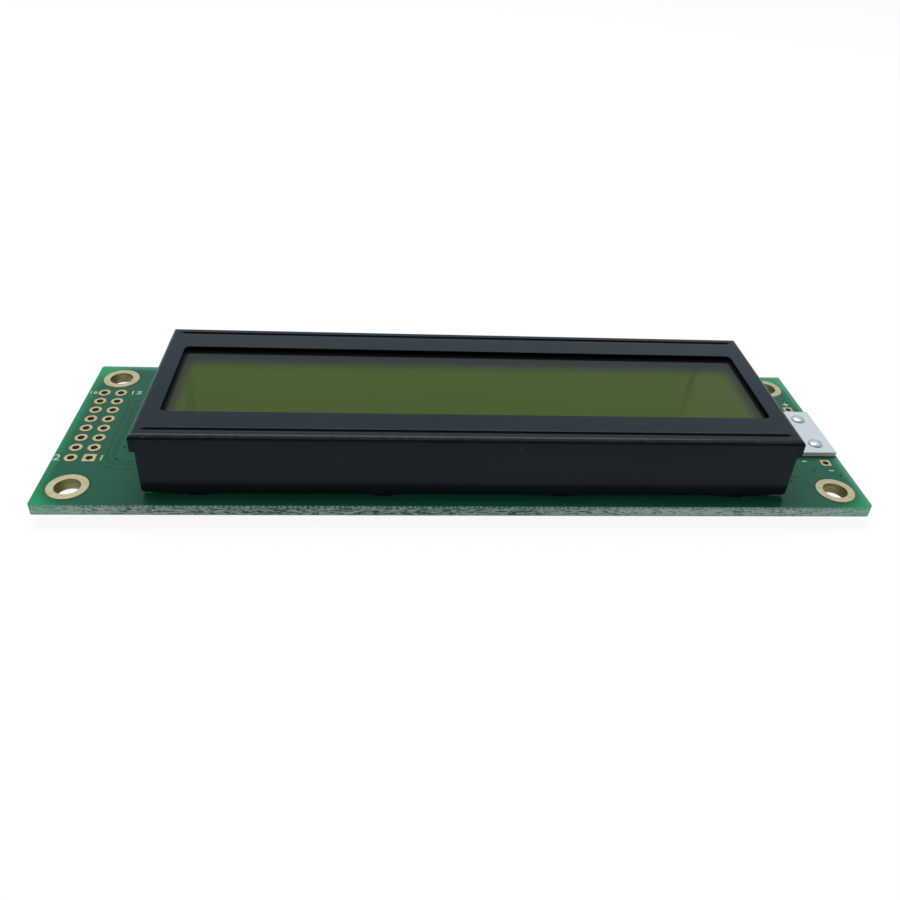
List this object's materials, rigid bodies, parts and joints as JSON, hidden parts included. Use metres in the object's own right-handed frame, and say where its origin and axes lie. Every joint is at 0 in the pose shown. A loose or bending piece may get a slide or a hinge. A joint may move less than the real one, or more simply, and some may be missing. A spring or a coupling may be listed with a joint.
{
  "type": "character lcd module",
  "caption": "Character display module: glass cell under a black stamped bezel on a long green board, lamp box inside, terminal holes at one end and a mounting hole at each corner.",
  "frame": {"origin": "middle of the board's outline, level with the lowest point of the bezel's twisted tabs", "axes": "+X along the board from the terminal holes to the lamp terminals, +Y to the rear long edge, +Z out of the display face"},
  "size_m": [0.116, 0.037, 0.0126],
  "materials": {
    "board": "green solder mask over glass-fibre laminate, glossy",
    "steel": "blue-black paint, satin",
    "glass": "clear cell glass",
    "film": "olive polarizing film, glossy",
    "diffuser": "milky film",
    "rubber": "striped silicone rubber, matt",
    "white": "white moulding, satin",
    "white_board": "white solder mask, glossy",
    "gold": "thin gold over nickel and copper",
    "solder": "bright solder",
    "lamp": "yellow-green lamp chip",
    "resin": "black resin, satin",
    "chip": "fired chip part with tinned ends",
    "tan_chip": "fired chip part with tinned ends"
  },
  "bodies": {
    "root": {"main_board": "board", "bezel": "steel", "front_polarizer": "film", "upper_glass": "glass", "lower_glass": "glass", "rear_polarizer": "film", "diffuser": "diffuser", "front_contact_strip": "rubber", "rear_contact_strip": "rubber", "front_contact_fingers": "gold", "rear_contact_fingers": "gold", "lamp_box": "white", "lamp_board": "white_board", "front_lamps": "lamp", "rear_lamps": "lamp", "pin_one_ring": "gold", "header_rings": "gold", "controller_cap": "resin", "left_driver_cap": "resin", "right_driver_cap": "resin", "clock_resistor": "chip", "bias_resistors": "chip", "lamp_resistors": "chip", "supply_capacitors": "tan_chip", "mount_ring_front_left": "gold", "mount_ring_rear_left": "gold", "mount_ring_front_right": "gold", "mount_ring_rear_right": "gold", "spare_cathode_ring": "gold", "cathode_ring": "gold", "cathode_pin": "solder", "cathode_solder": "solder", "spare_anode_ring": "gold", "anode_ring": "gold", "anode_pin": "solder", "anode_solder": "solder"}
  },
  "joints": []
}
